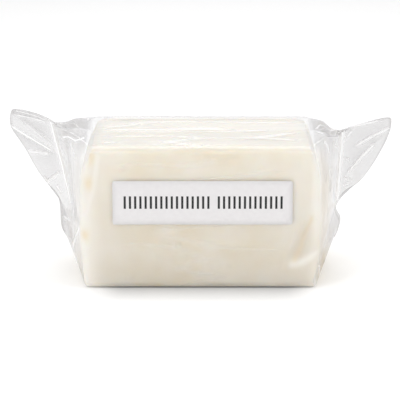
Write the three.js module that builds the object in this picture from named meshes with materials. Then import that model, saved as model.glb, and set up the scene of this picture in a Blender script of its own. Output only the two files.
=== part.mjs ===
// A hand-cut block of white cheese sealed in clear film, with a paper label on its front.
// The bag and the block inside it are one solid, from the tip of one film ear to the tip of the other.
// Millimetres, +Z up. +X runs along the block and -Y is its labelled front, with the origin mid-base.

import * as THREE from "three";
import { LoftGeometry } from "three/addons/geometries/LoftGeometry.js";

// The block under the film
const BLOCK_LENGTH = 131; // end to end at the base
const BLOCK_DEPTH = 78;
const BLOCK_HEIGHT = 82;
const TOP_RADIUS = 5; // the long edges of the top
const BASE_RADIUS = 3; // the long edges that the block stands on
const END_RADII = { base: 3, middle: 7, top: 5 }; // where the long faces turn into the ends
const FOOT_CHANGE = [0, 20]; // heights between which that turn softens above the base ...
const TOP_CHANGE = [50, BLOCK_HEIGHT]; // ... and again towards the top
const END_CROWN = 3; // how much further each soft end bulges at half height

// The film leaves the block after this much of the turn into an end: late at its sides, soon at its top
const SIDE_TURN = THREE.MathUtils.degToRad(60);
const TOP_TURN = THREE.MathUtils.degToRad(12);
const TURN_CHANGE = [0.7, 0.82]; // between these shares of the way from the bottom fold to the top fold

// The dent near the foot of the front's right end: a leaning groove, gentler towards the end
const DENT = { x: 55.5, z: 28, lean: 0.4, steepWidth: 3.5, gentleWidth: 9, halfHeight: 18, depth: 3 };

// The film: half the thickness of the pressed double sheet at its crease and out along its ear
const CREASE_HALF = 2.2;
const EAR_HALF = 0.8;
const FOLD_START = -6; // the folds grow from this far before the crease ...
const FOLD_FULL = 12; // ... to their whole depth this far beyond it
const EAR_REACH = 36; // from the crease to the tip of an ear
const EAR_THINNING = 1 / 3; // share of an ear over which it thins down from the crease
const FOLD_TAPER = 12; // how steeply the thickness grows away from the bottom and top folds
const LOBE_SHARE = 0.93; // below the ear the tent reaches this far out before its sheets close
const SAG_CHANGE = [0.6, 0.75]; // the roof starts between these shares of the way up
const SAG_STAGES = [0.4, 0.75]; // it stays high beside the block and sinks between these stages
const WAIST_BELOW = 0.08; // the lobe turns into the ear from this much below the waist ...
const WAIST_ABOVE = 0.14; // ... to this much above it

// Each end of the bag is a tent of film that closes on an upright crease, with a flat ear beyond it.
// The outline runs up the closed edge as [share, reach, height]: share of the way from the bottom fold to the
// top fold, distance from the block's middle, and height above the base. The ear starts at the waist.
const LEFT_END = {
  side: -1,
  outline: [
    [0.0, 78.0, 22.0],
    [0.22, 80.6, 28.0],
    [0.28, 81.0, 38.0],
    [0.34, 82.8, 44.8],
    [0.4, 89.2, 51.2],
    [0.46, 94.2, 59.1],
    [0.58, 103.2, 75.3],
    [0.64, 107.3, 81.9],
    [0.67, 108.4, 84.8],
    [0.71, 108.6, 89.8],
    [0.74, 107.2, 93.2],
    [0.77, 104.0, 93.6],
    [0.83, 97.5, 92.5],
    [0.92, 87.8, 89.3],
    [1.0, 82.0, 86.0],
  ],
  waist: 0.34,
  crease: { foot: 65.9, slope: 0.214 }, // its reach at the base, and how much more per millimetre of height
  folds: { count: 3.6, phase: 0.1, depth: 2.4 },
  lean: 4, // how far the tip stands behind the middle of the block
  sag: 2.2, // how far the tent's roof sinks from the block to its ear
};
const RIGHT_END = {
  side: 1,
  outline: [
    [0.0, 76.6, 19.0],
    [0.2, 79.4, 23.5],
    [0.26, 80.6, 30.5],
    [0.31, 77.9, 37.0],
    [0.36, 81.1, 44.3],
    [0.46, 91.3, 52.0],
    [0.58, 102.8, 70.0],
    [0.66, 107.8, 81.8],
    [0.69, 108.4, 84.6],
    [0.725, 108.0, 89.2],
    [0.75, 105.0, 89.4],
    [0.82, 97.3, 87.3],
    [0.92, 86.0, 83.9],
    [1.0, 78.0, 81.4],
  ],
  waist: 0.31,
  crease: { foot: 76.4, slope: 0.053 },
  folds: { count: 3.1, phase: 0.45, depth: 2.2 },
  lean: -3,
  sag: 3.5,
};

// The paper label on the front
const LABEL_WIDTH = 100;
const LABEL_HEIGHT = 25;
const LABEL_FOOT = 37.5; // height of its lower edge
const LABEL_SHIFT = 1.1; // it sits a little right of the middle
const LABEL_THICKNESS = 0.4;
const LABEL_CORNER = 1.2;
const LABEL_GAP = 0.3; // clear of the film that it is stuck to

// How finely the bag is faceted
const AROUND = 80;
const TURN_STEPS = 3;
const LENGTH_STEPS = 14;
const TENT_STEPS = 5;
const EAR_STEPS = 6;
const EDGE_STEP = 0.97; // the last full-thickness ring of an ear, before its edge is pressed shut

// Half of the block's section, from the middle of the base up one side to the middle of the top
function halfSection() {
  const side = BLOCK_DEPTH / 2;
  const top = BLOCK_HEIGHT - TOP_RADIUS;
  const path = new THREE.Path();
  path.moveTo(0, 0);
  path.lineTo(side - BASE_RADIUS, 0);
  path.absarc(side - BASE_RADIUS, BASE_RADIUS, BASE_RADIUS, -Math.PI / 2, 0, false);
  path.lineTo(side, top);
  path.absarc(side - TOP_RADIUS, top, TOP_RADIUS, 0, Math.PI / 2, false);
  path.lineTo(0, BLOCK_HEIGHT);
  return path;
}

const SECTION = halfSection();

// The way out of the section at a point on it: straight off a flat side, and radially off a rounded edge
function outward(point) {
  const radius = point.y < BLOCK_HEIGHT / 2 ? BASE_RADIUS : TOP_RADIUS;
  const core = new THREE.Vector2(
    Math.min(point.x, BLOCK_DEPTH / 2 - radius),
    THREE.MathUtils.clamp(point.y, BASE_RADIUS, BLOCK_HEIGHT - TOP_RADIUS),
  );
  return point.clone().sub(core).normalize();
}

// Half the block's length at a height: its ends are crowned
function halfLength(z) {
  const fromMiddle = (2 * z) / BLOCK_HEIGHT - 1;
  return BLOCK_LENGTH / 2 + END_CROWN * (1 - fromMiddle * fromMiddle);
}

// The radius of the turn into an end, at a height
function endRadius(z) {
  const { base, middle, top } = END_RADII;
  const lower = THREE.MathUtils.lerp(base, middle, THREE.MathUtils.smoothstep(z, ...FOOT_CHANGE));
  return THREE.MathUtils.lerp(lower, top, THREE.MathUtils.smoothstep(z, ...TOP_CHANGE));
}

// How far round that turn the film follows the block, at a share of the way up
function leavingTurn(share) {
  return THREE.MathUtils.lerp(SIDE_TURN, TOP_TURN, THREE.MathUtils.smoothstep(share, ...TURN_CHANGE));
}

// How far the front is pushed in by the dent, which leans and fades out like a bell
function dentAt(x, z) {
  const along = (z - DENT.z) / DENT.halfHeight;
  const beside = x - DENT.x - DENT.lean * (z - DENT.z);
  const across = beside / (beside < 0 ? DENT.steepWidth : DENT.gentleWidth);
  return DENT.depth * Math.exp(-2 * (along * along + across * across));
}

// A closed ring of points, from the middle of the base up the back, over the top and down the front.
// share runs from 0 at the base to 1 at the top on both faces, and face is 1 at the back and -1 at the front.
function ring(pointAt) {
  return Array.from({ length: AROUND }, (_, i) => {
    const turn = (2 * i) / AROUND;
    return turn <= 1 ? pointAt(turn, 1) : pointAt(2 - turn, -1);
  });
}

// A point of the film on the block: reach is its share of the straight length, from -1 to 1, and turn the
// share of its turn into the end that it has gone round.
function blockPoint(reach, turn, share, face) {
  const onSection = SECTION.getPoint(share);
  const radius = endRadius(onSection.y);
  const angle = turn * leavingTurn(share);
  const straight = halfLength(onSection.y) - radius;
  const x = reach * straight + Math.sign(reach) * radius * Math.sin(angle);
  onSection.addScaledVector(outward(onSection), -radius * (1 - Math.cos(angle)));
  const pressed = face < 0 ? dentAt(x, onSection.y) : 0;
  return new THREE.Vector3(x, face * Math.max(onSection.x - pressed, 0), onSection.y);
}

// The closed edge of a bag end at a share of the way up it, as a smooth curve through its outline
function outlineOf(end) {
  const shares = end.outline.map(([share]) => share);
  const places = end.outline.flatMap(([, reach, height]) => [reach, height]);
  const curve = new THREE.CubicInterpolant(shares, places, 2);
  return (share) => {
    const [reach, height] = curve.evaluate(share);
    return new THREE.Vector2(end.side * reach, height);
  };
}

// The share of a straight run from start to edge that lies inside the crease
function creaseShare(end, start, edge, share) {
  const { foot, slope } = end.crease;
  const outAt = (point) => end.side * point.x - foot - slope * point.y;
  const crossing = outAt(start) / (outAt(start) - outAt(edge));
  const ear = THREE.MathUtils.smoothstep(share, end.waist - WAIST_BELOW, end.waist + WAIST_ABOVE);
  return THREE.MathUtils.lerp(LOBE_SHARE, Math.min(crossing, LOBE_SHARE), ear);
}

// A point of a bag end. Stage runs from 0 at the block through 1 at the crease to 2 at the closed edge.
function endPoint(end, outline, stage, share, face) {
  const onBlock = blockPoint(end.side, 1, share, face);
  const start = new THREE.Vector2(onBlock.x, onBlock.z);
  const edge = outline(share);
  const crease = creaseShare(end, start, edge, share);
  const beyond = Math.max(stage - 1, 0);
  const run = Math.min(stage, 1) * crease + beyond * (1 - crease);
  const place = start.clone().lerp(edge, run);
  const past = start.distanceTo(edge) * (run - crease);

  // The film closes in a straight line on the crease, and its two sheets then lie together out to the edge.
  const tent = Math.abs(onBlock.y) * Math.max(1 - stage, 0);
  const rounded = Math.min(1, FOLD_TAPER * share * (1 - share));
  const pressed = THREE.MathUtils.lerp(CREASE_HALF, EAR_HALF, Math.min(beyond / EAR_THINNING, 1)) * rounded;
  const sheets = stage < 2 ? Math.hypot(tent, pressed * Math.min(stage, 1)) : 0;

  const { count, phase, depth } = end.folds;
  const grown = THREE.MathUtils.smoothstep(past, FOLD_START, FOLD_FULL);
  const fold = depth * grown * Math.sin(2 * Math.PI * (count * share + phase));
  const lean = end.lean * (Math.max(past, 0) / EAR_REACH) ** 2;
  const hang = THREE.MathUtils.smoothstep(stage, ...SAG_STAGES) * (1 - beyond);
  const sag = end.sag * hang * THREE.MathUtils.smoothstep(share, ...SAG_CHANGE);
  return new THREE.Vector3(place.x, face * sheets + fold + lean, place.y - sag);
}

// The rings of a bag end, from the block out to the closed edge
function endRings(end) {
  const outline = outlineOf(end);
  const stages = [];
  for (let i = 1; i <= TENT_STEPS; i += 1) stages.push(i / TENT_STEPS);
  for (let i = 1; i < EAR_STEPS; i += 1) stages.push(1 + i / EAR_STEPS);
  stages.push(1 + EDGE_STEP, 2);
  return stages.map((stage) => ring((share, face) => endPoint(end, outline, stage, share, face)));
}

// The rings of the film on the block, from its left end to its right end
function blockRings() {
  const rings = [];
  const turned = (side, step) => ring((share, face) => blockPoint(side, step / TURN_STEPS, share, face));
  for (let i = TURN_STEPS; i > 0; i -= 1) rings.push(turned(-1, i));
  for (let i = 0; i <= LENGTH_STEPS; i += 1) {
    const reach = (2 * i) / LENGTH_STEPS - 1;
    rings.push(ring((share, face) => blockPoint(reach, 0, share, face)));
  }
  for (let i = 1; i <= TURN_STEPS; i += 1) rings.push(turned(1, i));
  return rings;
}

function wrappedBlock() {
  const rings = [...endRings(LEFT_END).reverse(), ...blockRings(), ...endRings(RIGHT_END)];
  const material = new THREE.MeshStandardMaterial({ color: "#efe7d5", roughness: 0.3, metalness: 0 });
  const mesh = new THREE.Mesh(new LoftGeometry(rings), material);
  mesh.name = "wrapped_block";
  return mesh;
}

function labelOutline() {
  const right = LABEL_WIDTH / 2 - LABEL_CORNER;
  const top = LABEL_HEIGHT / 2 - LABEL_CORNER;
  const shape = new THREE.Shape();
  shape.absarc(right, -top, LABEL_CORNER, -Math.PI / 2, 0, false);
  shape.absarc(right, top, LABEL_CORNER, 0, Math.PI / 2, false);
  shape.absarc(-right, top, LABEL_CORNER, Math.PI / 2, Math.PI, false);
  shape.absarc(-right, -top, LABEL_CORNER, Math.PI, 1.5 * Math.PI, false);
  return shape;
}

function label() {
  const geometry = new THREE.ExtrudeGeometry(labelOutline(), {
    depth: LABEL_THICKNESS,
    bevelEnabled: false,
    curveSegments: 4,
  });
  const material = new THREE.MeshStandardMaterial({ color: "#e9e7e8", roughness: 0.55, metalness: 0 });
  const mesh = new THREE.Mesh(geometry, material);
  mesh.name = "label";
  mesh.rotation.x = Math.PI / 2; // stand it up, so that it is extruded towards the front
  mesh.position.set(LABEL_SHIFT, -BLOCK_DEPTH / 2 - LABEL_GAP, LABEL_FOOT + LABEL_HEIGHT / 2);
  return mesh;
}

const cheesePack = new THREE.Group();
cheesePack.add(wrappedBlock(), label());

export default cheesePack;
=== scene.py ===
# %% [markdown]
# # A white cheese block in clear film
#
# This lesson dresses a plain solid model: a block of brined white cheese, sealed in a clear bag whose two
# ends are gathered into flared ears, with a paper label on its front. The frame gives the real sizes, in
# metres. We first load it and remember its box, because the finished model has to stay close to that box.

# %% Load the frame
import functools
import math

import bmesh
import bpy
from mathutils import Matrix, Vector, noise


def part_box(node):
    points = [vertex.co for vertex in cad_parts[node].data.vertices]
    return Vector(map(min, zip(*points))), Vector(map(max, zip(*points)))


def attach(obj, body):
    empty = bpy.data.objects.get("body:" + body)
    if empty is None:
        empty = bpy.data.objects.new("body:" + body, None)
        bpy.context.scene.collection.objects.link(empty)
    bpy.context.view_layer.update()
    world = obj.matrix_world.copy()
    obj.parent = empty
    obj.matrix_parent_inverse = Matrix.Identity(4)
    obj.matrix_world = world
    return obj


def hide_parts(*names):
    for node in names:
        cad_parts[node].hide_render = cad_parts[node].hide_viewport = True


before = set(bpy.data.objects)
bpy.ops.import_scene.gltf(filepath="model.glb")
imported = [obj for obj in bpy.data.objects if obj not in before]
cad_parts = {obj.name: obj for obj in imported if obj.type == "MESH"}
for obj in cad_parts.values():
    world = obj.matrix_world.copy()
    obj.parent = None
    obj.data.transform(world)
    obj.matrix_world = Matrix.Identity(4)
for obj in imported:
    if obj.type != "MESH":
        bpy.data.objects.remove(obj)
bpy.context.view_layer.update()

MM = 0.001
BAG_LOW, BAG_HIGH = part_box("wrapped_block")
LABEL_LOW, LABEL_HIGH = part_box("label")
print("the bag is", [round(side / MM, 1) for side in BAG_HIGH - BAG_LOW], "mm")

# %% [markdown]
# ## Two helpers for materials
#
# Colours are easiest to name as the hex values that a screen shows, but shaders work with linear light, so
# one function converts them. Another adds a node, sets it and links it, so that each material reads as a
# list of steps.


# %% Helpers for materials
def linear(hex_colour):
    parts = [int(hex_colour[i:i + 2], 16) / 255 for i in (1, 3, 5)]
    return [p / 12.92 if p <= 0.04045 else ((p + 0.055) / 1.055) ** 2.4 for p in parts] + [1.0]


def add(tree, kind, inputs=None, **settings):
    node = tree.nodes.new(kind)
    for name, value in settings.items():
        setattr(node, name, value)
    for name, value in (inputs or {}).items():
        if isinstance(value, bpy.types.NodeSocket):
            tree.links.new(value, node.inputs[name])
        else:
            node.inputs[name].default_value = value
    return node


def new_material(name):
    material = bpy.data.materials.new(name)
    material.use_nodes = True
    material.node_tree.nodes.clear()
    return material, material.node_tree


def show_surface(tree, shader):
    add(tree, "ShaderNodeOutputMaterial", {"Surface": shader.outputs[0]})


# %% [markdown]
# ## The camera
#
# The photograph was taken with a long lens from straight in front and a little above: the top face shows as
# a narrow band, and its sides hardly converge. A 180 mm lens from 1.15 m gives the same view.

# %% Camera
VIEW_HEIGHT = 15.5  # degrees above level
VIEW_DISTANCE = 1150 * MM
VIEW_CENTRE = Vector((-0.3, 0, 40.7)) * MM
LENS = 180
SENSOR = 36


def make_camera():
    lens = bpy.data.cameras.new("camera")
    lens.lens = LENS
    lens.sensor_width = SENSOR
    lens.clip_start = 0.01
    camera = bpy.data.objects.new("camera", lens)
    tilt = math.radians(VIEW_HEIGHT)
    camera.location = VIEW_CENTRE + VIEW_DISTANCE * Vector((0, -math.cos(tilt), math.sin(tilt)))
    camera.rotation_euler = (math.pi / 2 - tilt, 0, 0)
    bpy.context.scene.collection.objects.link(camera)
    bpy.context.scene.camera = camera
    return camera


print("camera at", [round(c, 3) for c in make_camera().location])

# %% [markdown]
# ## Floor and light
#
# The photograph is high-key: everything around the block is white, and only a thin soft shade marks where it
# stands. A white world does most of that. A wide box of light overhead brightens the top, and narrower boxes
# give the clear film something to mirror: without them its folds would vanish against the white. The floor
# has a painted shade in its colour where the block closes it in, and that painted shade thins out before the
# ends of the pack.

# %% Floor and light
FLOOR_SIZE = 12.0
CONTACT_SHADE = 31 * MM  # how far the shade of the pack reaches over the floor
SHADE_MIDDLE = 2 * MM
SHADE_FADE = (44 * MM, 66 * MM)  # it thins out between these distances from its middle
FLOOR_GLOW = 0.1
HORIZON_GLOW = 1.0
CEILING_GLOW = 0.4
HORIZON_TOP = 0.2  # sines of the heights between which the sweep behind the table fades into the ceiling
CEILING_FOOT = 0.6
STAND_GAP = 0.05 * MM  # keeps the floor from flickering through the base


def make_floor():
    # Matt white acrylic sheet, almost without shadow, with a painted shade in its colour where the block
    # stands on it
    material, tree = new_material("matte_white_acrylic")
    place = add(tree, "ShaderNodeTexCoord").outputs["Object"]
    along = add(tree, "ShaderNodeSeparateXYZ", {"Vector": place}).outputs["X"]
    beside = add(tree, "ShaderNodeMath", {0: along, 1: SHADE_MIDDLE}, operation="SUBTRACT").outputs[0]
    from_middle = add(tree, "ShaderNodeMath", {0: beside}, operation="ABSOLUTE").outputs[0]
    fade = add(tree, "ShaderNodeMapRange", {
        "Value": from_middle,
        "From Min": SHADE_FADE[0],
        "From Max": SHADE_FADE[1],
        "To Min": 1.0,
        "To Max": 0.0,
    }, interpolation_type="SMOOTHSTEP").outputs["Result"]
    # Painted shadow: ambient occlusion darkens the floor's colour near the block, fading towards the ends
    open_air = add(tree, "ShaderNodeAmbientOcclusion", {"Distance": CONTACT_SHADE}).outputs["AO"]
    closed = add(tree, "ShaderNodeMath", {0: 1.0, 1: open_air}, operation="SUBTRACT").outputs[0]
    covered = add(tree, "ShaderNodeMath", {0: closed, 1: fade}, operation="MULTIPLY").outputs[0]
    shade = add(tree, "ShaderNodeMix", data_type="RGBA")
    tree.links.new(covered, shade.inputs[0])
    shade.inputs[6].default_value = linear("#fcfcfc")
    shade.inputs[7].default_value = linear("#7d7c7d")
    acrylic = add(tree, "ShaderNodeBsdfPrincipled", {
        "Base Color": shade.outputs[2],
        "Roughness": 1.0,
        "Specular IOR Level": 0.0,
        "Emission Color": linear("#ffffff"),
        "Emission Strength": FLOOR_GLOW,
    })
    show_surface(tree, acrylic)
    bm = bmesh.new()
    bmesh.ops.create_grid(bm, x_segments=1, y_segments=1, size=FLOOR_SIZE / 2)
    bmesh.ops.translate(bm, verts=bm.verts, vec=(0, 0, -STAND_GAP))
    mesh = bpy.data.meshes.new("floor")
    bm.to_mesh(mesh)
    bm.free()
    mesh.materials.append(material)
    floor = bpy.data.objects.new("floor", mesh)
    bpy.context.scene.collection.objects.link(floor)


def make_softbox(name, place, size, power):
    light = bpy.data.lights.new(name, "AREA")
    light.shape = "RECTANGLE"
    light.size, light.size_y = size
    light.energy = power
    box = bpy.data.objects.new(name, light)
    box.location = place
    box.rotation_euler = (VIEW_CENTRE - Vector(place)).to_track_quat("-Z", "Y").to_euler()
    bpy.context.scene.collection.objects.link(box)


def make_world():
    world = bpy.data.worlds.new("white_sweep")
    world.use_nodes = True
    tree = world.node_tree
    way = add(tree, "ShaderNodeTexCoord").outputs["Generated"]
    up = add(tree, "ShaderNodeSeparateXYZ", {"Vector": way}).outputs["Z"]
    glow = add(tree, "ShaderNodeMapRange", {
        "Value": up,
        "From Min": HORIZON_TOP,
        "From Max": CEILING_FOOT,
        "To Min": HORIZON_GLOW,
        "To Max": CEILING_GLOW,
    })
    tree.links.new(glow.outputs["Result"], tree.nodes["Background"].inputs["Strength"])
    tree.nodes["Background"].inputs["Color"].default_value = linear("#ffffff")
    bpy.context.scene.world = world


make_floor()
make_world()
make_softbox("overhead", (0, 0.1, 1.3), (1.2, 0.9), 8.4)
make_softbox("key_left", (-0.75, -0.8, 0.9), (0.25, 0.9), 2.5)
make_softbox("front", (0.1, -1.4, 1.1), (1.2, 0.5), 1)
make_softbox("strip_right", (0.9, -0.35, 0.75), (0.15, 0.9), 1.2)
make_softbox("strip_back", (0.1, 1.0, 0.7), (1.2, 0.15), 1.2)
bpy.context.scene.view_settings.view_transform = "Standard"
bpy.context.scene.cycles.transparent_max_bounces = 32
print("white room with", len(bpy.data.lights), "softboxes")

# %% [markdown]
# ## A little geometry
#
# Four short functions do most of the shaping below: a blend, a soft step, an even spread and the distance
# from a place to a drawn line. The last one also tells on which side of the line the place lies, and how far
# along it. A soft step whose first limit is the higher one runs downwards.


# %% A little geometry
def mix(a, b, share):
    return a + (b - a) * share


def ease(value, low, high):
    share = min(max((value - low) / (high - low), 0.0), 1.0)
    return share * share * (3 - 2 * share)


def spread(start, stop, count):
    return [start + (stop - start) * i / (count - 1) for i in range(count)]


def near_line(points, a, b):
    """Distance from (a, b) to a line whose points run rightwards, which side it lies on (above 0 is over the
    line), and its share of the way along the line."""
    nearest = (math.inf, 0.0, 0.0)
    for i, ((start_a, start_b), (stop_a, stop_b)) in enumerate(zip(points, points[1:])):
        run, rise = stop_a - start_a, stop_b - start_b
        share = ((a - start_a) * run + (b - start_b) * rise) / (run * run + rise * rise)
        share = min(max(share, 0.0), 1.0)
        away = math.hypot(a - start_a - share * run, b - start_b - share * rise)
        over = run * (b - start_b) - rise * (a - start_a)
        nearest = min(nearest, (away, over, (i + share) / (len(points) - 1)))
    return nearest


# %% [markdown]
# ## The form of the block
#
# The block and the film around it are two skins of one form, so we describe that form once. Its section is a
# rectangle with round edges, softer above than at the base, and its ends bulge a little. A point on it has a
# share of the way up from the middle of the base to the middle of the top, a face (-1 at the front, 1 at the
# back) and a place along the block. With such coordinates the film keeps its distance from the cheese.

# %% The form of the block
BLOCK_LENGTH = 131
BLOCK_DEPTH = (BAG_HIGH.y - BAG_LOW.y) / MM
BLOCK_HEIGHT = 82
TOP_RADIUS = 5
BASE_RADIUS = 3
END_RADII = (3, 7, 5)  # of the turn into an end: at the base, in the middle and at the top
FOOT_CHANGE = (0, 20)  # heights between which that turn softens above the base ...
TOP_CHANGE = (50, BLOCK_HEIGHT)  # ... and again towards the top
END_CROWN = 3
SIDE_TURN = math.radians(60)  # the film leaves the block after this much of that turn ...
TOP_TURN = math.radians(12)  # ... but sooner at the top
TURN_CHANGE = (0.7, 0.82)
DENT = {"x": 55.5, "z": 28, "lean": 0.4, "steep": 3.5, "gentle": 9, "half_height": 18, "depth": 3}

BASE_FLAT = BLOCK_DEPTH / 2 - BASE_RADIUS
TOP_FLAT = BLOCK_DEPTH / 2 - TOP_RADIUS
SIDE_FLAT = BLOCK_HEIGHT - BASE_RADIUS - TOP_RADIUS
QUARTER = math.pi / 2
HALF_LOOP = BASE_FLAT + TOP_FLAT + SIDE_FLAT + QUARTER * (BASE_RADIUS + TOP_RADIUS)


def arc(centre_across, centre_up, radius, angle):
    out = (math.cos(angle), math.sin(angle))
    return centre_across + radius * out[0], centre_up + radius * out[1], out[0], out[1]


@functools.cache
def half_section(share):
    """Distance across and up, and the way out, at a share of the half loop from mid-base to mid-top."""
    way = share * HALF_LOOP
    if way <= BASE_FLAT:
        return way, 0.0, 0.0, -1.0
    way -= BASE_FLAT
    if way <= QUARTER * BASE_RADIUS:
        return arc(BASE_FLAT, BASE_RADIUS, BASE_RADIUS, way / BASE_RADIUS - QUARTER)
    way -= QUARTER * BASE_RADIUS
    if way <= SIDE_FLAT:
        return BLOCK_DEPTH / 2, BASE_RADIUS + way, 1.0, 0.0
    way -= SIDE_FLAT
    if way <= QUARTER * TOP_RADIUS:
        return arc(TOP_FLAT, BLOCK_HEIGHT - TOP_RADIUS, TOP_RADIUS, way / TOP_RADIUS)
    way -= QUARTER * TOP_RADIUS
    return max(TOP_FLAT - way, 0.0), BLOCK_HEIGHT, 0.0, 1.0


def half_length(up):
    return BLOCK_LENGTH / 2 + END_CROWN * (1 - (2 * up / BLOCK_HEIGHT - 1) ** 2)


def end_radius(up):
    base, middle, top = END_RADII
    return mix(mix(base, middle, ease(up, *FOOT_CHANGE)), top, ease(up, *TOP_CHANGE))


def leaving_turn(share):
    return mix(SIDE_TURN, TOP_TURN, ease(share, *TURN_CHANGE))


def dent_depth(along, up):
    rise = (up - DENT["z"]) / DENT["half_height"]
    beside = along - DENT["x"] - DENT["lean"] * (up - DENT["z"])
    across = beside / (DENT["steep"] if beside < 0 else DENT["gentle"])
    return DENT["depth"] * math.exp(-2 * (rise * rise + across * across))


def on_block(side, reach, angle, share, face):
    """A point of the block's skin and the way out of it. Angle is how far it has turned into an end."""
    across, up, out_across, out_up = half_section(share)
    radius = end_radius(up)
    along = reach * (half_length(up) - radius) + side * radius * math.sin(angle)
    inset = radius * (1 - math.cos(angle))
    across = max(across - out_across * inset, 0.0)
    up -= out_up * inset
    sunk = dent_depth(along, up) if face < 0 else 0.0
    out = Vector((side * math.sin(angle), face * out_across * math.cos(angle), out_up * math.cos(angle)))
    return Vector((along, face * max(across - sunk, 0.0), up)), out


print("half the way round the block is", round(HALF_LOOP, 1), "mm")

# %% [markdown]
# ## A tube that takes any form
#
# Both skins are tubes along the block. We start from Blender's cylinder without caps, cut its long edges into
# rings with one subdivision, and then send each vertex to its place by its ring and its step around. The
# operator makes the faces, and we only say where they go.


# %% A tube that takes any form
def make_tube(around, stations, place, marks=()):
    """A tube whose vertices go to place(station, share, face), which also gives a value for each mark."""
    bm = bmesh.new()
    bmesh.ops.create_cone(bm, segments=around, radius1=1, radius2=1, depth=2)
    lengthwise = [e for e in bm.edges if abs(e.verts[0].co.z - e.verts[1].co.z) > 1]
    bmesh.ops.subdivide_edges(bm, edges=lengthwise, cuts=len(stations) - 2, use_grid_fill=True)
    layers = [bm.verts.layers.float.new(name) for name in marks]
    for vert in bm.verts:
        ring = round((vert.co.z + 1) / 2 * (len(stations) - 1))
        step = round(math.atan2(vert.co.y, vert.co.x) / (2 * math.pi) * around) % around
        turn = 2 * step / around
        share, face = (turn, 1) if turn <= 1 else (2 - turn, -1)
        point, *values = place(stations[ring], share, face)
        vert.co = point * MM
        for layer, value in zip(layers, values):
            vert[layer] = value
    bmesh.ops.remove_doubles(bm, verts=bm.verts, dist=0.001 * MM)
    bmesh.ops.recalc_face_normals(bm, faces=bm.faces)
    return bm


def finish_piece(name, bm, material):
    for face in bm.faces:
        face.smooth = True
    mesh = bpy.data.meshes.new(name)
    bm.to_mesh(mesh)
    bm.free()
    mesh.materials.append(material)
    piece = bpy.data.objects.new(name, mesh)
    bpy.context.scene.collection.objects.link(piece)
    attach(piece, "root")
    print(name, "has", sum(len(p.vertices) - 2 for p in mesh.polygons), "triangles")
    return piece


# %% [markdown]
# ## The cheese
#
# Brined cheese is cut from a pressed curd with a wire, so its faces are flat but never perfect: they swell
# softly, carry faint drag lines and have small pits where the curd was open. Handling wears the corners, and
# a flap has been pushed up near the right foot. All of that is relief in the mesh, cut inwards from the form,
# so that it never pushes through the film. Two marks go with it for the material: tan spots at the left end
# together with a painted shade in the groove by the flap, and painted light that makes the curd paler on
# top, at the ends, at the upper corners and along a few bands.

# %% The cheese block
FILM_GAP = 0.3  # between the cheese and the film around it
CHEESE_AROUND = 240  # steps around the block ...
CHEESE_STRAIGHT = 110  # ... rings along it, round the turn into an end and over that end
CHEESE_TURN = 9
CHEESE_CAP = 24
CAP_EDGE = 0.25  # share of an end over which it bulges out from its rim
BASE_TILT = (-0.9, -0.2)  # how far the skin leans down: there is no relief on the base
SWELL = 0.7
SWELL_SIZE = 34
DRAG = 0.2
DRAG_SIZE = (60, 5)  # along the block and across it
PIT_DEPTH = 1.4
PIT_CELL = 17
PIT_RADIUS = 2.4
EDGE_WAVE = 2.2  # how unevenly the long top edges are rounded
EDGE_WAVE_SIZE = 26
WORN_REACH = (55, 66)  # distances from the middle between which an end is worn
# Which end, the heights where the wear starts and is full, and its depth
WORN_EDGES = [(-1, 62, 82, 5.0), (1, 60, 82, 3.0), (1, 18, 0, 2.2)]
GROOVE = [(52.3, 15.5), (55.6, 21.9), (57.7, 29.5), (59.8, 35.3), (62.0, 40.5)]
GROOVE_DEPTH = 0.8
GROOVE_WIDTH = 1.5
# Painted shade: the groove's colour is darkened towards tan
GROOVE_SHADE = 0.38
# Place along the block and up, half width, half height and strength
TAN_SPOTS = [(-62.3, 60.7, 2.8, 4.0, 0.6), (-65.0, 30.7, 2.6, 3.2, 0.65), (-61.0, 75.6, 3.0, 4.5, 0.55)]
LIT_LEFT_END = (52, 68)  # distances from the middle between which painted light makes the front's left end paler ...
LIT_RIGHT_END = (58, 66)  # ... and its right end
LIT_CORNERS = 0.35
CORNER_REACH = (34, 50)  # painted light makes the upper corners of the long faces paler between these distances and heights
CORNER_RISE = (42, 62)
# Painted light makes the top of the block paler
LIT_TOP = 0.75
FLAP_LIGHT = 0.45  # the flap at the right foot gets less painted light ...
FLAP_RISE = (22, 44)  # ... and the rest of that end more, from these heights up
TOP_TILT = (0.5, 1.0)  # how far the skin leans to the sky, between a long edge and the top
# Bands of painted highlight, where folds of film over the front catch the light
HIGHLIGHT_BANDS = [
    [(-67.1, 35.3), (-63.7, 44.0), (-60.1, 56.1), (-58.3, 65.9), (-57.1, 77.3)],
    [(-65.1, 23.7), (-64.2, 10.8)],
    [(51.7, 13.9), (56.8, 15.1), (61.2, 17.7), (65.6, 20.4)],
]
HIGHLIGHT_WIDTH = 2.3


def in_groove(point):
    away, _, _ = near_line(GROOVE, point.x, point.z)
    return math.exp(-(away / GROOVE_WIDTH) ** 2) if point.y < 0 else 0.0


def cheese_relief(point, out):
    soft = SWELL * (0.5 + 0.5 * noise.noise(point / SWELL_SIZE))
    drawn = Vector((point.x / DRAG_SIZE[0], point.y / DRAG_SIZE[1], point.z / DRAG_SIZE[1]))
    drag = DRAG * (0.5 + 0.5 * noise.noise(drawn))
    to_pit = noise.voronoi(point / PIT_CELL)[0][0] * PIT_CELL
    pit = PIT_DEPTH * max(0.0, 1 - to_pit / PIT_RADIUS) ** 2
    edge = (2 * out.y * out.z) ** 2
    wave = EDGE_WAVE * edge * (0.5 + 0.5 * noise.noise(Vector((point.x / EDGE_WAVE_SIZE, 0, 0))))
    worn = GROOVE_DEPTH * in_groove(point)
    for end, start, full, depth in WORN_EDGES:
        worn += depth * ease(end * point.x, *WORN_REACH) * ease(point.z, start, full)
    return soft + drag + pit + wave + worn


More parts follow.
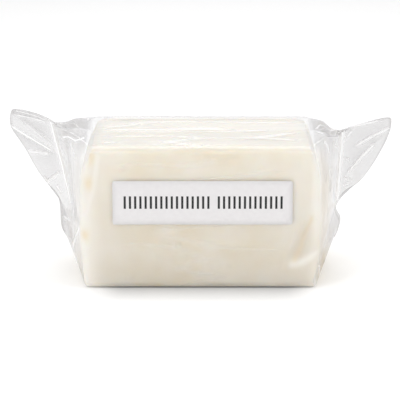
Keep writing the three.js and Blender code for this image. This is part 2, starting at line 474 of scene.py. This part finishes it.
def tan_spots_and_groove_shade(point):
    """Above 0 at the tan spots of the left corner, and in the groove, where it is a painted shade."""
    tan_or_shade = GROOVE_SHADE * in_groove(point)
    for x, z, wide, high, strength in TAN_SPOTS:
        tan_or_shade = max(tan_or_shade, strength * math.exp(-((point.x - x) / wide) ** 2 - ((point.z - z) / high) ** 2))
    return tan_or_shade


def painted_light_on_curd(point, out):
    """Up to 1 where painted light makes the curd paler: on top, at both ends and where a fold of film
    catching the light lies on it.
    """
    left = ease(-point.x, *LIT_LEFT_END)
    right = ease(point.x, *LIT_RIGHT_END) * mix(FLAP_LIGHT, 1.0, ease(point.z, *FLAP_RISE))
    corners = LIT_CORNERS * ease(abs(point.x), *CORNER_REACH) * ease(point.z, *CORNER_RISE)
    painted_light = max(left, right, corners, LIT_TOP * ease(out.z, *TOP_TILT))
    for band in HIGHLIGHT_BANDS:
        away, _, _ = near_line(band, point.x, point.z)
        painted_light = max(painted_light, math.exp(-(away / HIGHLIGHT_WIDTH) ** 2) if point.y < 0 else 0.0)
    return painted_light


def place_cheese(station, share, face):
    part, side, amount = station
    if part == "straight":
        point, out = on_block(0, amount, 0.0, share, face)
    elif part == "turn":
        point, out = on_block(side, side, amount * QUARTER, share, face)
    else:
        rim, out = on_block(side, side, QUARTER, share, face)
        middle = Vector((rim.x, 0, BLOCK_HEIGHT / 2))
        point = rim.lerp(middle, amount)
        point.x = mix(rim.x, side * half_length(point.z), ease(amount, 0, CAP_EDGE))
    relief = cheese_relief(point, out) * ease(out.z, *BASE_TILT)
    tan_or_shade = tan_spots_and_groove_shade(point) if face < 0 else 0.0
    return point - out * (FILM_GAP + relief), tan_or_shade, painted_light_on_curd(point, out)


def block_stations(straight, turn):
    left = [("turn", -1, a) for a in spread(1, 0, turn)[:-1]]
    middle = [("straight", 0, math.sin(a)) for a in spread(-QUARTER, QUARTER, straight)]
    right = [("turn", 1, a) for a in spread(0, 1, turn)[1:]]
    return left + middle + right


def cheese_stations():
    left_cap = [("cap", -1, a) for a in spread(1, 0, CHEESE_CAP)[:-1]]
    right_cap = [("cap", 1, a) for a in spread(0, 1, CHEESE_CAP)[1:]]
    return left_cap + block_stations(CHEESE_STRAIGHT, CHEESE_TURN) + right_cap


# %% [markdown]
# ## What the cheese looks like
#
# Brined curd is white with a warm cast, and light sinks a few millimetres into it, so its shadows stay soft.
# The shader therefore lets light scatter under the surface, mottles the colour in soft patches a centimetre
# or two wide and breaks the gloss with a fine curd grain. A painted shade makes the colour darker towards the
# foot, and the two marks of the mesh paint the tan spots with the groove's painted shade, and the painted
# light.

# %% Cheese material
CURD_PATCH = 16 * MM
CURD_GRAIN = 1.4 * MM
FOOT_SHADE = 0.84  # the colour is painted this much darker at the foot of the block, a painted shade


def make_curd():
    # Pressed and brined curd: warm white, softly mottled, with a moist and uneven gloss
    material, tree = new_material("brined_curd")
    place = add(tree, "ShaderNodeTexCoord").outputs["Object"]
    patch = add(tree, "ShaderNodeTexNoise", {"Vector": place, "Scale": 1 / CURD_PATCH, "Detail": 4.0})
    grain = add(tree, "ShaderNodeTexNoise", {"Vector": place, "Scale": 1 / CURD_GRAIN, "Detail": 3.0})
    colour = add(tree, "ShaderNodeValToRGB", {"Fac": patch.outputs["Fac"]})
    colour.color_ramp.elements[0].position = 0.3
    colour.color_ramp.elements[0].color = linear("#f3e8d2")
    colour.color_ramp.elements[1].position = 0.7
    colour.color_ramp.elements[1].color = linear("#f9f2e4")
    # Painted shade: the colour darkens towards the foot of the block
    height = add(tree, "ShaderNodeSeparateXYZ", {"Vector": place}).outputs["Z"]
    foot_shading = add(tree, "ShaderNodeMapRange", {
        "Value": height,
        "From Min": 0.0,
        "From Max": BLOCK_HEIGHT * MM,
        "To Min": FOOT_SHADE,
        "To Max": 1.0,
    })
    foot_shaded = add(tree, "ShaderNodeVectorMath", {
        0: colour.outputs["Color"],
        3: foot_shading.outputs["Result"],
    }, operation="SCALE")
    # Painted light: the curd is made paler where the light falls strongest
    painted_light = add(tree, "ShaderNodeAttribute", attribute_name="painted_light").outputs["Fac"]
    lit_curd = add(tree, "ShaderNodeMix", data_type="RGBA")
    tree.links.new(painted_light, lit_curd.inputs[0])
    tree.links.new(foot_shaded.outputs[0], lit_curd.inputs[6])
    lit_curd.inputs[7].default_value = linear("#fff9ef")
    # Tan for the spots, and a painted shade in the groove
    tan_and_shade = add(tree, "ShaderNodeAttribute", attribute_name="tan_and_shade").outputs["Fac"]
    tan_or_shaded = add(tree, "ShaderNodeMix", data_type="RGBA")
    tree.links.new(tan_and_shade, tan_or_shaded.inputs[0])
    tree.links.new(lit_curd.outputs[2], tan_or_shaded.inputs[6])
    tan_or_shaded.inputs[7].default_value = linear("#f6dcae")
    gloss = add(tree, "ShaderNodeMapRange", {"Value": grain.outputs["Fac"], "To Min": 0.42, "To Max": 0.62})
    bump = add(tree, "ShaderNodeBump", {
        "Height": grain.outputs["Fac"],
        "Strength": 0.25,
        "Distance": 0.2 * MM,
    })
    curd = add(tree, "ShaderNodeBsdfPrincipled", {
        "Base Color": tan_or_shaded.outputs[2],
        "Roughness": gloss.outputs["Result"],
        "Normal": bump.outputs["Normal"],
        "Subsurface Weight": 0.35,
        "Subsurface Radius": (1.0, 0.7, 0.4),
        "Subsurface Scale": 3 * MM,
        "IOR": 1.4,
    })
    show_surface(tree, curd)
    return material


cheese_mesh = make_tube(CHEESE_AROUND, cheese_stations(), place_cheese, marks=("tan_and_shade", "painted_light"))
cheese = finish_piece("cheese", cheese_mesh, make_curd())
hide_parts("wrapped_block")

# %% [markdown]
# ## The ends of the bag
#
# Beyond the block the film closes like a tent on an upright crease, and its two sheets then lie together as
# an ear. A smooth curve through a few places gives the ear's outline. Each vertex moves out along a straight
# run from the block to that outline, and stage counts how far: 0 at the block, 1 at the crease and 2 at the
# closed edge.

# %% The ends of the bag
CREASE_HALF = 2.2  # half the thickness of the two sheets at the crease ...
EAR_HALF = 0.5  # ... and out along the ear
EAR_THINNING = 1 / 3  # share of an ear over which it thins down from the crease
FOLD_TAPER = 12  # how steeply the thickness grows away from the bottom and top folds
EAR_REACH = 36  # from the crease to the tip of an ear
LOBE_SHARE = 0.93  # below the ear the tent reaches this far out before its sheets close
SAG_CHANGE = (0.6, 0.75)  # the roof starts between these shares of the way up ...
SAG_STAGES = (0.4, 0.75)  # ... and sinks between these stages
WAIST_BELOW = 0.08  # the lobe turns into the ear from this much below the waist ...
WAIST_ABOVE = 0.14  # ... to this much above it

# Each line: its points, the strength of its painted highlight, its half width, and how much painted shade
# greys the film over it (or, where that is below 0, under it). The lines of an ear are places on the pack,
# and those of a tent are stage and share, both in millimetres.
LEFT_END = {
    "outline": [
        (0.0, 78.0, 22.0), (0.22, 80.6, 28.0), (0.28, 81.0, 38.0), (0.34, 82.8, 44.8),
        (0.4, 89.2, 51.2), (0.46, 94.2, 59.1), (0.58, 103.2, 75.3), (0.64, 107.3, 81.9),
        (0.67, 108.4, 84.8), (0.71, 108.6, 89.8), (0.74, 107.2, 93.2), (0.77, 104.0, 93.6),
        (0.83, 97.5, 92.5), (0.92, 87.8, 89.3), (1.0, 82.0, 86.0),
    ],
    "waist": 0.34,
    "crease": (65.9, 0.214),
    "lean": 4,
    "sag": 2.2,
    "ear_grey": 0.08,
    "lobe_grey": 0.9,
    "brine": 0.4,
    "seed": 3.0,
    "ear_lines": [
        ([(-106.0, 92.9), (-94.1, 90.0), (-82.8, 85.9)], 0.7, 0.45, 0.0),
        ([(-107.1, 90.5), (-97.0, 88.5), (-91.3, 87.3), (-86.8, 86.2)], 0.8, 0.6, 0.5),
        ([(-109.0, 84.8), (-97.2, 77.7), (-82.5, 68.8)], 1.0, 0.75, -0.45),
        ([(-99.5, 69.0), (-86.0, 68.0)], 0.8, 0.9, 0.0),
        ([(-88.5, 50.5), (-80.1, 57.1)], 0.9, 0.75, 0.2),
        ([(-100.4, 85.6), (-83.6, 72.4)], 0.35, 0.6, 0.2),
        ([(-102.7, 87.3), (-84.1, 75.6)], 0.3, 0.6, 0.2),
        ([(-89.7, 54.4), (-88.1, 50.8)], 0.6, 0.5, 0.0),
        ([(-82.9, 49.0), (-79.6, 44.9)], 0.6, 0.8, 0.0),
    ],
    "tent_lines": [
        ([(5.8, 134.5), (8.4, 122.9), (12.6, 119.0), (21.0, 118.1), (32.0, 115.2)], 0.9, 0.9, 0.45),
        ([(8.9, 108.4), (12.6, 111.3), (18.4, 115.2)], 0.6, 0.9, 0.0),
        ([(27.8, 97.7), (27.9, 107.4)], 0.35, 1.0, 0.0),
        ([(33.6, 99.1), (36.1, 109.9)], 0.5, 1.0, 0.0),
        ([(3.7, 71.6), (13.7, 59.0), (25.2, 31.0)], 0.7, 1.0, 0.0),
        ([(28.9, 59.0), (38.3, 40.6)], 0.5, 1.5, 0.0),
        ([(10.5, 42.6), (22.6, 32.9)], 0.5, 1.2, 0.0),
    ],
}
RIGHT_END = {
    "outline": [
        (0.0, 76.6, 19.0), (0.2, 79.4, 23.5), (0.26, 80.6, 30.5), (0.31, 77.9, 37.0),
        (0.36, 81.1, 44.3), (0.46, 91.3, 52.0), (0.58, 102.8, 70.0), (0.66, 107.8, 81.8),
        (0.69, 108.4, 84.6), (0.725, 108.0, 89.2), (0.75, 105.0, 89.4), (0.82, 97.3, 87.3),
        (0.92, 86.0, 83.9), (1.0, 78.0, 81.4),
    ],
    "waist": 0.31,
    "crease": (76.4, 0.053),
    "lean": -3,
    "sag": 3.5,
    "ear_grey": 0.2,
    "lobe_grey": 0.55,
    "brine": 1.4,
    "seed": 11.0,
    "ear_lines": [
        ([(77.7, 81.2), (82.3, 82.9), (104.3, 88.2)], 0.9, 0.6, 0.3),
        ([(81.0, 75.6), (86.3, 81.5)], 0.8, 0.8, 0.2),
        ([(88.2, 72.1), (97.7, 78.0), (108.4, 84.1)], 0.9, 0.75, 0.1),
        ([(84.6, 56.7), (92.3, 66.2), (99.8, 74.2)], 1.0, 0.75, 0.3),
        ([(81.7, 53.8), (86.9, 51.4)], 0.8, 0.9, 0.0),
        ([(81.2, 49.0), (86.9, 51.1)], 0.5, 0.6, 0.0),
        ([(81.4, 65.6), (85.5, 64.1)], 0.5, 0.8, 0.1),
    ],
    "tent_lines": [
        ([(8.9, 154.8), (15.2, 141.3), (27.8, 138.4), (35.7, 126.8)], 0.8, 0.9, 0.4),
        ([(12.6, 120.0), (15.8, 114.2), (16.8, 109.4)], 0.7, 0.9, 0.0),
        ([(27.8, 117.1), (31.5, 111.3)], 0.5, 0.8, 0.0),
        ([(16.8, 89.0), (19.4, 101.6)], 0.3, 1.2, 0.0),
        ([(32.6, 30.0), (35.7, 40.6)], 0.7, 0.9, 0.0),
        ([(0.5, 51.3), (11.6, 29.0)], 0.6, 0.8, 0.0),
    ],
}
ENDS = {-1: LEFT_END, 1: RIGHT_END}


def slope(points, i):
    """The mean slope of the chords that meet at a point of an outline."""
    chords = [(points[k], points[k + 1]) for k in (i - 1, i) if 0 <= k < len(points) - 1]
    rates = [[(b[n] - a[n]) / (b[0] - a[0]) for n in (1, 2)] for a, b in chords]
    return [sum(rate[n] for rate in rates) / len(rates) for n in (0, 1)]


@functools.cache
def closed_edge(side, share):
    """Where the sheets of an end close: a smooth curve through its outline, as reach and height."""
    points = ENDS[side]["outline"]
    i = max(k for k in range(len(points) - 1) if points[k][0] <= share)
    span = points[i + 1][0] - points[i][0]
    t = (share - points[i][0]) / span
    starts, stops = slope(points, i), slope(points, i + 1)
    place = []
    for n in (0, 1):
        a, b = points[i][n + 1], points[i + 1][n + 1]
        rise = (2 * t ** 3 - 3 * t ** 2 + 1) * a + (3 * t ** 2 - 2 * t ** 3) * b
        bend = (t ** 3 - 2 * t ** 2 + t) * starts[n] + (t ** 3 - t ** 2) * stops[n]
        place.append(rise + bend * span)
    return Vector((side * place[0], place[1]))


@functools.cache
def end_run(side, share):
    """The straight run of an end at a share: its start on the block, its edge and where it is creased."""
    end = ENDS[side]
    on_skin, _ = on_block(side, side, leaving_turn(share), share, 1)
    start = Vector((on_skin.x, on_skin.z))
    edge = closed_edge(side, share)
    foot, lean = end["crease"]
    inside, beyond = [side * p.x - foot - lean * p.y for p in (start, edge)]
    crossing = min(inside / (inside - beyond), LOBE_SHARE)
    ear = ease(share, end["waist"] - WAIST_BELOW, end["waist"] + WAIST_ABOVE)
    return start, edge, mix(LOBE_SHARE, crossing, ear)


print("the ears reach", [round(abs(closed_edge(s, 0.7).x), 1) for s in ENDS], "mm from the middle")

# %% [markdown]
# ## Wrinkles and folds
#
# Clear film shows itself by its creases. There are three kinds here: long thin ridges where it was pulled
# along the block, gathers beside the crease of each end, and the sharp folds that fan out over the ears. A
# ridge is where a slow noise passes through zero: stretching the noise one way draws it out into a line.
# The creases get painted highlights in white, and the film is grey where it is gathered and where painted
# shade lies beside folds and in hollows; close to the block a little brine clings to it, so each of the three
# is written to an attribute that the material reads.

# %% Wrinkles and folds
RIDGE_SHARPNESS = 0.16
FOLD_SPAN = 7  # a fold of an ear pushes the film aside this far from its line
SHADE_REACH = 5  # the painted shade beside a line fades over about this distance
LINE_FADE = 9  # a drawn line fades in and out over a ninth of its length


def slow_noise(a, b, seed):
    return noise.noise(Vector((a, b, seed)))


def ridge(a, b, seed):
    """Thin ridges, up to 1 high, along the lines where a slow noise changes sign."""
    return max(0.0, 1 - abs(slow_noise(a, b, seed)) / RIDGE_SHARPNESS) ** 2


def creased(lines, a, b):
    """How much painted highlight and painted shade a set of lines gives the film at a place, and how far they
    push it aside.
    """
    white = grey = aside = 0.0
    for points, strength, width, shade in lines:
        away, over, along = near_line(points, a, b)
        faded = min(1.0, LINE_FADE * along, LINE_FADE * (1 - along))
        white = max(white, strength * faded * math.exp(-(away / width) ** 2))
        grey += abs(shade) * math.exp(-away / SHADE_REACH) if over * shade > 0 else 0.0
        aside += math.copysign(strength, shade) * max(0.0, 1 - away / FOLD_SPAN)
    return white, grey, aside


line_count = sum(len(end[kind]) for end in ENDS.values() for kind in ("ear_lines", "tent_lines"))
print(line_count, "fold lines on the two ends")

# %% [markdown]
# ## The film over an end
#
# A vertex of an end starts from its straight run. The tent's sheets stand as far apart as the block is deep
# and close towards the crease, where gathers and a raised seam show. Beyond it the drawn folds push the ear
# aside. How grey the film looks depends on how much of it is gathered: most in the lobe under the ear, less
# where it has just left the block. Painted shade adds to that grey in the roof of the tent, in the hollows of
# the gathers, beside the drawn folds and along the closed rim.

# %% The film over an end
TENT_LENGTH = 42  # from the block to the crease, in the millimetres of the tent lines
GATHER_SIZE = (0.16, 0.5)  # in stages and shares
GATHER_HEIGHT = 1.2
# Painted highlights on the crests of the gathers
GATHER_WHITE = 0.3
# Painted shade in the hollows of the gathers
GATHER_GREY = 0.3
CREASE_LINE = 0.9
# The raised seam at the crease carries a painted highlight
SEAM_SHARES = (0.06, 0.2)  # the seam grows between these shares above the waist
SEAM_HEIGHT = 0.6
FOLD_HEIGHT = 1.6
FOLD_START = -4  # the folds grow from this far before the crease ...
FOLD_FULL = 10  # ... to their whole depth this far beyond it
ROOF_START = 0.8  # share above which the lines of a tent also cross its back sheet
LEAVING = 0.06  # stage at which the film has left the block
TENT_GREY = 0.36
TENT_EDGE = 0.08
FOOT_GREY = 0.3  # part of the tent's grey that its foot keeps, below these shares
FOOT_SHARES = (0.25, 0.45)
EAR_STAGES = (1.0, 1.1)
LOBE_SHARES = (-0.05, 0.05)  # below the waist
LOBE_STAGES = (0.3, 0.7)
# Painted shade in the roof of a tent, where we look along the film
ROOF_GREY = 0.55
ROOF_SHARES = (0.6, 0.7)
ROOF_STAGES = (1.0, 0.7)
# Painted shade along the closed rim of an ear
RIM_GREY = 0.4
RIM_STAGES = (1.92, 2.0)
BRINE_STAGES = (0.7, 0.3)  # brine clings to the inner part of a tent, below these shares
BRINE_SHARES = (0.68, 0.55)


def gathered_grey_and_shade(end, stage, share, face):
    """How grey the film of an end looks, apart from its lines and gathers: the tone of its gathered sheets,
    and painted shade in the roof of the tent and along the rim.
    """
    grey = TENT_GREY * ease(stage, 0.0, TENT_EDGE) * mix(FOOT_GREY, 1.0, ease(share, *FOOT_SHARES))
    grey += end["ear_grey"] * ease(stage, *EAR_STAGES)
    grey += end["lobe_grey"] * ease(end["waist"] - share, *LOBE_SHARES) * ease(stage, *LOBE_STAGES)
    if face > 0:
        grey += ROOF_GREY * ease(share, *ROOF_SHARES) * ease(stage, 0.0, LEAVING) * ease(stage, *ROOF_STAGES)
    return grey + RIM_GREY * ease(stage, *RIM_STAGES)


def clinging_brine(end, stage, share):
    return end["brine"] * ease(stage, 0.0, LEAVING) * ease(stage, *BRINE_STAGES) * ease(share, *BRINE_SHARES)


def place_end(side, stage, share, face):
    end = ENDS[side]
    on_skin, _ = on_block(side, side, leaving_turn(share), share, face)
    start, edge, crease = end_run(side, share)
    beyond = max(stage - 1, 0.0)
    run = min(stage, 1.0) * crease + beyond * (1 - crease)
    place = start.lerp(edge, run)
    past = (edge - start).length * (run - crease)
    grown = ease(past, FOLD_START, FOLD_FULL)
    hang = ease(stage, *SAG_STAGES) * (1 - beyond)
    place.y -= end["sag"] * hang * ease(share, *SAG_CHANGE)

    tent = abs(on_skin.y) * max(1 - stage, 0.0)
    rounded = min(1.0, FOLD_TAPER * share * (1 - share))
    pressed = mix(CREASE_HALF, EAR_HALF, min(beyond / EAR_THINNING, 1.0)) * rounded
    gather = slow_noise(stage / GATHER_SIZE[0], share / GATHER_SIZE[1], end["seed"] + face)
    gather *= math.sin(math.pi * min(stage, 1.0)) * rounded
    seam = math.exp(-(past / CREASE_LINE) ** 2) * rounded
    seam *= ease(share - end["waist"], *SEAM_SHARES)
    lift = GATHER_HEIGHT * gather + SEAM_HEIGHT * seam
    sheets = math.hypot(tent, pressed * min(stage, 1.0)) + lift if stage < 2 else 0.0

    white, grey, aside = creased(end["ear_lines"], place.x, place.y)
    white *= grown
    grey *= grown
    if stage < 1 and (face < 0 or share > ROOF_START):
        tent_white, tent_grey, _ = creased(end["tent_lines"], TENT_LENGTH * stage, HALF_LOOP * share)
        white = max(white, tent_white)
        grey += tent_grey
    lean = end["lean"] * (max(past, 0.0) / EAR_REACH) ** 2
    point = Vector((place.x, face * sheets + FOLD_HEIGHT * aside * grown + lean, place.y))
    white = max(white, seam, GATHER_WHITE * max(gather, 0.0))
    grey += gathered_grey_and_shade(end, stage, share, face) + GATHER_GREY * max(-gather, 0.0)
    return point, white, grey, clinging_brine(end, stage, share)


# %% [markdown]
# ## The film over the block
#
# Over the block the film is drawn tight. On top it lies in long bands, some with more painted sheen and some
# clear and a little greyer, with a few raised streaks that carry painted highlights, and its back edge gets a
# painted shade because we look along it. On the front only faint painted streaks and a painted sheen towards
# the ends are left, so that the cheese shows through. The painted sheen stays below a quarter on purpose:
# where it crosses that, the renderer's denoiser draws a contour.

# %% The film over the block
FILM_AROUND = 440  # steps around the bag ...
FILM_STRAIGHT = 30  # ... and rings along the block, round the turn into an end, over a tent and over an ear
FILM_TURN = 5
TENT_RINGS = 32
EAR_RINGS = 62
BAND_SIZE = (110, 19)  # along the block and around it, as for the streaks
BAND_CHANGE = (-0.25, 0.45)
# Painted shade on top: greyer in the clear bands and along some streaks
BAND_GREY = 0.14
STREAK_SIZE = (80, 17)
STREAK_HEIGHT = 0.3
# Painted highlight along the raised streaks
STREAK_WHITE = 0.6
STREAK_GREY = 0.2
STREAK_REACH = (62, 46)  # a streak grows between these distances from the middle
# Painted sheen on top of the block, weaker in its clear bands
TOP_SHEEN = 0.22
LEAST_SHEEN = 0.4  # part of the haze that a clear band keeps
# Painted shade along the back edge of the top, where we look along the film
BACK_GREY = 0.4
BACK_EDGE = (27, 35)
FRONT_TILT = (0.3, 0.5)  # how far the skin leans to the front, between an edge and the front
# Faint painted highlights in streaks on the front
FRONT_STREAKS = 0.16
FRONT_STREAK_SIZE = (70, 9)
# Painted sheen towards the ends of the front
END_SHEEN = 0.18
END_SHEEN_REACH = (30, 62)
BAND_SEED = 5.0
STREAK_SEED = 9.0
GREY_SEED = 14.0
FRONT_SEED = 21.0


def streaks(point, way, seed):
    return ridge(point.x / STREAK_SIZE[0], way / STREAK_SIZE[1], seed)


# Painted sheen and faint painted highlights on the front
def front_sheen(point, out):
    drawn = ridge(point.x / FRONT_STREAK_SIZE[0], point.z / FRONT_STREAK_SIZE[1], FRONT_SEED)
    sheen = END_SHEEN * ease(abs(point.x), *END_SHEEN_REACH)
    return ease(-out.y, *FRONT_TILT) * max(FRONT_STREAKS * drawn, sheen)


def place_on_block(part, side, amount, share, face):
    angle = amount * leaving_turn(share) if part == "turn" else 0.0
    point, out = on_block(side, side if part == "turn" else amount, angle, share, face)
    way = face * share * HALF_LOOP
    top = ease(out.z, *TOP_TILT)
    band = ease(slow_noise(point.x / BAND_SIZE[0], way / BAND_SIZE[1], BAND_SEED), *BAND_CHANGE)
    streak = top * streaks(point, way, STREAK_SEED) * ease(abs(point.x), *STREAK_REACH)
    grey = STREAK_GREY * streaks(point, way, GREY_SEED) + BAND_GREY * (1 - band)
    grey = top * (grey + BACK_GREY * ease(point.y, *BACK_EDGE))
    white = max(TOP_SHEEN * top * mix(LEAST_SHEEN, 1.0, band), STREAK_WHITE * streak)
    if face < 0:
        white = max(white, front_sheen(point, out))
    return point + out * STREAK_HEIGHT * streak, white, grey, 0.0


def place_film(station, share, face):
    part, side, amount = station
    if part == "end":
        return place_end(side, amount, share, face)
    return place_on_block(part, side, amount, share, face)


def film_stations():
    stages = spread(0, 1, TENT_RINGS)[1:] + spread(1, 2, EAR_RINGS)[1:]
    left = [("end", -1, s) for s in reversed(stages)]
    right = [("end", 1, s) for s in stages]
    return left + block_stations(FILM_STRAIGHT, FILM_TURN) + right


print("the film has", len(film_stations()), "rings of", FILM_AROUND, "steps")

# %% [markdown]
# ## What the film looks like
#
# The bag is polyethylene film, blown thin and clear: we see through it, and it mirrors more the flatter we
# look along it. Glass would refract, which a film this thin doesn't, so the shader mixes plain transparency
# with a gloss by the angle of view. The film is drawn thin over the block and stays thicker in the gathered
# ends, which therefore look greyer, and painted shade greys it further in places. Brine warms it a little,
# and a white diffuse mixed in paints highlights along its creases and streaks.

# %% Film material
FILM_MIRROR = 0.045  # share of light that clear plastic mirrors when seen straight on


def make_film():
    # Blown polyethylene film: clear and glossy, grey where gathered and where shade is painted, warmed by
    # brine, with painted highlights in white along creases and streaks
    material, tree = new_material("clear_polyethylene_film")
    gathers_and_shade = add(tree, "ShaderNodeAttribute", attribute_name="gathers_and_shade").outputs["Fac"]
    painted_highlight = add(tree, "ShaderNodeAttribute", attribute_name="painted_highlight").outputs["Fac"]
    tint = add(tree, "ShaderNodeMix", data_type="RGBA")
    tree.links.new(gathers_and_shade, tint.inputs[0])
    tint.inputs[6].default_value = linear("#fbfbfb")
    tint.inputs[7].default_value = linear("#e4e3e3")
    brine = add(tree, "ShaderNodeAttribute", attribute_name="brine").outputs["Fac"]
    wetted = add(tree, "ShaderNodeMix", data_type="RGBA", blend_type="MULTIPLY")
    tree.links.new(brine, wetted.inputs[0])
    tree.links.new(tint.outputs[2], wetted.inputs[6])
    wetted.inputs[7].default_value = linear("#f6f2ea")
    facing = add(tree, "ShaderNodeLayerWeight", {"Blend": 0.5}).outputs["Facing"]
    grazing = add(tree, "ShaderNodeMath", {0: facing, 1: 5.0}, operation="POWER")
    mirror = add(tree, "ShaderNodeMapRange", {
        "Value": grazing.outputs[0],
        "To Min": FILM_MIRROR,
        "To Max": 1.0,
    })
    clear = add(tree, "ShaderNodeBsdfTransparent", {"Color": wetted.outputs[2]})
    gloss = add(tree, "ShaderNodeBsdfGlossy", {"Color": linear("#f0f0f2"), "Roughness": 0.12})
    film = add(tree, "ShaderNodeMixShader", {
        0: mirror.outputs[0],
        1: clear.outputs[0],
        2: gloss.outputs[0],
    })
    # White diffuse for the painted highlights and painted sheen
    sheen = add(tree, "ShaderNodeBsdfDiffuse", {"Color": linear("#ffffff")})
    highlighted_film = add(tree, "ShaderNodeMixShader", {
        0: painted_highlight,
        1: film.outputs[0],
        2: sheen.outputs[0],
    })
    show_surface(tree, highlighted_film)
    return material


film_mesh = make_tube(FILM_AROUND, film_stations(), place_film, marks=("painted_highlight", "gathers_and_shade", "brine"))
film = finish_piece("film_bag", film_mesh, make_film())
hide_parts("wrapped_block")

# %% [markdown]
# ## The label
#
# The label is a strip of coated paper with rounded corners, stuck on the film by hand. We start from a single
# quad, round its corners with a vertex bevel, slice it so that it can ripple a little, and give it thickness.

# %% The label
LABEL_CORNER = 1.2
LABEL_SLICE = 4
LABEL_RIPPLE = 0.1
LABEL_RIPPLE_SIZE = 22


def slice_sheet(bm, axis, low, high, step):
    normal = Vector((axis == 0, 0, axis == 2))
    cuts = int((high - low) / step)
    for i in range(1, cuts):
        cut = Vector((0, 0, 0))
        cut[axis] = mix(low, high, i / cuts)
        everything = bm.verts[:] + bm.edges[:] + bm.faces[:]
        bmesh.ops.bisect_plane(bm, geom=everything, plane_co=cut, plane_no=normal)


def make_label_mesh():
    low, high = LABEL_LOW / MM, LABEL_HIGH / MM
    middle, size = (low + high) / 2, high - low
    bm = bmesh.new()
    bmesh.ops.create_grid(bm, x_segments=1, y_segments=1, size=0.5)
    bmesh.ops.scale(bm, verts=bm.verts, vec=(size.x, size.z, 1))
    bmesh.ops.bevel(
        bm,
        geom=bm.verts[:],
        offset=LABEL_CORNER,
        affect="VERTICES",
        segments=6,
        profile=0.5,
        material=-1,
    )
    bmesh.ops.rotate(bm, verts=bm.verts, matrix=Matrix.Rotation(QUARTER, 3, "X"))
    bmesh.ops.translate(bm, verts=bm.verts, vec=(middle.x, high.y, middle.z))
    slice_sheet(bm, 0, low.x, high.x, LABEL_SLICE)
    slice_sheet(bm, 2, low.z, high.z, LABEL_SLICE)
    for vert in bm.verts:
        vert.co.y -= LABEL_RIPPLE * (0.5 + 0.5 * noise.noise(vert.co / LABEL_RIPPLE_SIZE))
    front = bmesh.ops.extrude_face_region(bm, geom=bm.faces[:])["geom"]
    front_verts = [v for v in front if isinstance(v, bmesh.types.BMVert)]
    bmesh.ops.translate(bm, verts=front_verts, vec=(0, LABEL_RIPPLE - size.y, 0))
    bmesh.ops.recalc_face_normals(bm, faces=bm.faces)
    bmesh.ops.scale(bm, verts=bm.verts, vec=(MM, MM, MM))
    return bm


# %% [markdown]
# ## What the label looks like
#
# Coated label paper is a cool white, smooth, with a faint cloudiness from its fibres. The print in its middle
# is an even row of dark upright ticks with one gap, so that it says nothing. The row repeats along the strip,
# and a band across it and a stretch along it say where it may show.

# %% Label material
FIBRE = 2.5 * MM
TICK_PITCH = 2.9 * MM
TICK_HALF = 0.62 * MM
PRINT_MIDDLE = (1.45 * MM, 50.2 * MM)  # along the pack, and up
PRINT_HALF = (44.95 * MM, 3.6 * MM)
WORD_GAP = (7.25 * MM, 1.45 * MM)  # its middle along the pack, and half its width


def make_paper():
    # Machine-coated label paper: cool white with faint fibre clouds, and a printed row of matt black ticks
    material, tree = new_material("coated_label_paper")
    place = add(tree, "ShaderNodeTexCoord").outputs["Object"]
    axes = add(tree, "ShaderNodeSeparateXYZ", {"Vector": place})
    fibre = add(tree, "ShaderNodeTexNoise", {"Vector": place, "Scale": 1 / FIBRE, "Detail": 5.0})
    paper = add(tree, "ShaderNodeValToRGB", {"Fac": fibre.outputs["Fac"]})
    paper.color_ramp.elements[0].color = linear("#e3e0e1")
    paper.color_ramp.elements[1].color = linear("#eceaea")

    def within(value, middle, half):
        return add(tree, "ShaderNodeMath", {0: value, 1: middle, 2: half}, operation="COMPARE").outputs[0]

    def both(one, other, operation="MULTIPLY"):
        return add(tree, "ShaderNodeMath", {0: one, 1: other}, operation=operation, use_clamp=True).outputs[0]

    along, up = axes.outputs["X"], axes.outputs["Z"]
    step = add(tree, "ShaderNodeMath", {0: along, 1: TICK_PITCH}, operation="FLOORED_MODULO").outputs[0]
    tick = within(step, TICK_PITCH / 2, TICK_HALF)
    stretch = within(along, PRINT_MIDDLE[0], PRINT_HALF[0])
    band = within(up, PRINT_MIDDLE[1], PRINT_HALF[1])
    ink = both(both(tick, both(stretch, band)), within(along, *WORD_GAP), "SUBTRACT")
    printed = add(tree, "ShaderNodeMix", data_type="RGBA")
    tree.links.new(ink, printed.inputs[0])
    tree.links.new(paper.outputs["Color"], printed.inputs[6])
    printed.inputs[7].default_value = linear("#161618")
    bump = add(tree, "ShaderNodeBump", {
        "Height": fibre.outputs["Fac"],
        "Strength": 0.1,
        "Distance": 0.05 * MM,
    })
    coat = add(tree, "ShaderNodeBsdfPrincipled", {
        "Base Color": printed.outputs[2],
        "Normal": bump.outputs["Normal"],
        "Roughness": 0.5,
    })
    show_surface(tree, coat)
    return material


label = finish_piece("paper_label", make_label_mesh(), make_paper())
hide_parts("label")
